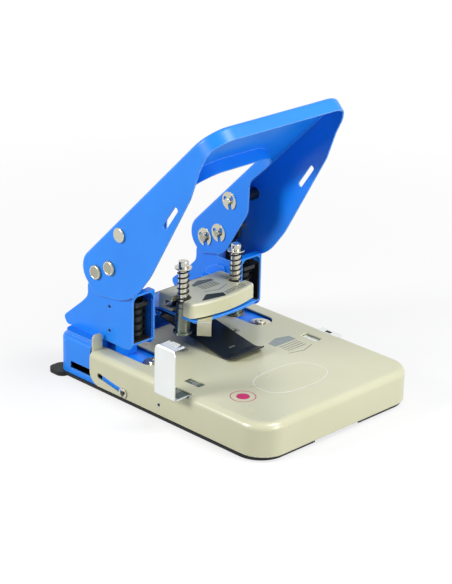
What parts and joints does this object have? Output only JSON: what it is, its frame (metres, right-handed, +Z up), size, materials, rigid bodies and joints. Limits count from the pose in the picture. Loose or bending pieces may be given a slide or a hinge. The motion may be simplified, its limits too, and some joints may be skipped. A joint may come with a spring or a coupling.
{
  "type": "paper punch",
  "caption": "Heavy-duty lever paper punch: a wide U-shaped lever drives two punches down through a stack on a flat table with a sliding side guide.",
  "frame": {"origin": "on the plane the punch rests on, at the underside of the bottom cover, straight below the point midway between the two punches", "axes": "+Z up, -Y towards the user at the front, X across from the left punch (-X) to the right punch (+X)"},
  "size_m": [0.259, 0.331, 0.3279],
  "materials": {
    "blue_paint": "gloss powder coat",
    "cream_paint": "satin enamel",
    "black_plastic": "matte",
    "black_paint": "satin black",
    "zinc": "bright zinc plate",
    "dark_steel": "oiled dark steel",
    "bright_steel": "ground",
    "nickel": "nickel plate"
  },
  "bodies": {
    "base": {"base_frame": "blue_paint", "bottom_cover": "black_plastic", "table_top": "cream_paint", "table_cross_pin": "dark_steel", "cross_pin_clips": "bright_steel", "die_bar": "dark_steel", "die_bush_left": "bright_steel", "die_bush_right": "bright_steel", "deck_bolts": "nickel", "deck_washers": "nickel", "upright_left": "blue_paint", "upright_right": "blue_paint", "upright_spacer_left": "blue_paint", "upright_spacer_right": "blue_paint", "spring_guide_left": "black_plastic", "spring_guide_right": "black_plastic", "upright_bolts": "nickel", "bridge_plate": "blue_paint", "head_cover": "cream_paint", "front_clip": "nickel", "holder_pin": "bright_steel", "punch_sleeve_left": "dark_steel", "punch_sleeve_right": "dark_steel", "punch_spring_left": "bright_steel", "punch_spring_right": "bright_steel", "return_spring_left": "black_paint", "return_spring_right": "black_paint"},
    "lever": {"handle": "blue_paint", "pivot_pin_left": "nickel", "pivot_pin_right": "nickel", "drive_pin_left": "nickel", "drive_pin_right": "nickel", "spacer_pin_left": "nickel", "spacer_pin_right": "nickel", "handle_pin_clips": "nickel", "spacer_tube_left": "bright_steel", "spacer_tube_right": "bright_steel"},
    "crosshead": {"crosshead_bar": "black_paint", "drive_yoke_left": "blue_paint", "drive_yoke_right": "blue_paint", "yoke_screws": "bright_steel", "drive_arm_left": "black_paint", "drive_arm_right": "black_paint", "link_pins": "bright_steel", "punch_rod_left": "bright_steel", "punch_rod_right": "bright_steel", "punch_clips": "bright_steel"},
    "side_gauge": {"paper_gauge": "zinc"},
    "holder": {"paper_holder": "black_paint"}
  },
  "joints": [
    {"name": "lever_hinge", "type": "hinge", "parent": "base", "child": "lever", "pos_m": [0, 0.0703, 0.1303], "axis": [1, 0, 0], "range_deg": [0, 60], "stiffness_Nm_per_rad": 6, "springref_deg": -28.65},
    {"name": "punch_stroke", "type": "slide", "parent": "base", "child": "crosshead", "axis": [0, 0, -1], "range_m": [0, 0.0245], "deforming": ["punch_spring_left", "punch_spring_right", "return_spring_left", "return_spring_right"]},
    {"name": "gauge_slide", "type": "slide", "parent": "base", "child": "side_gauge", "axis": [-1, 0, 0], "range_m": [-0.014, 0.032]},
    {"name": "holder_lift", "type": "hinge", "parent": "base", "child": "holder", "pos_m": [0, 0.058, 0.067], "axis": [-1, 0, 0], "range_deg": [0, 12]}
  ],
  "couplings": [
    {"joint": "punch_stroke", "follows": "lever_hinge", "m_per_rad": 0.023362}
  ]
}
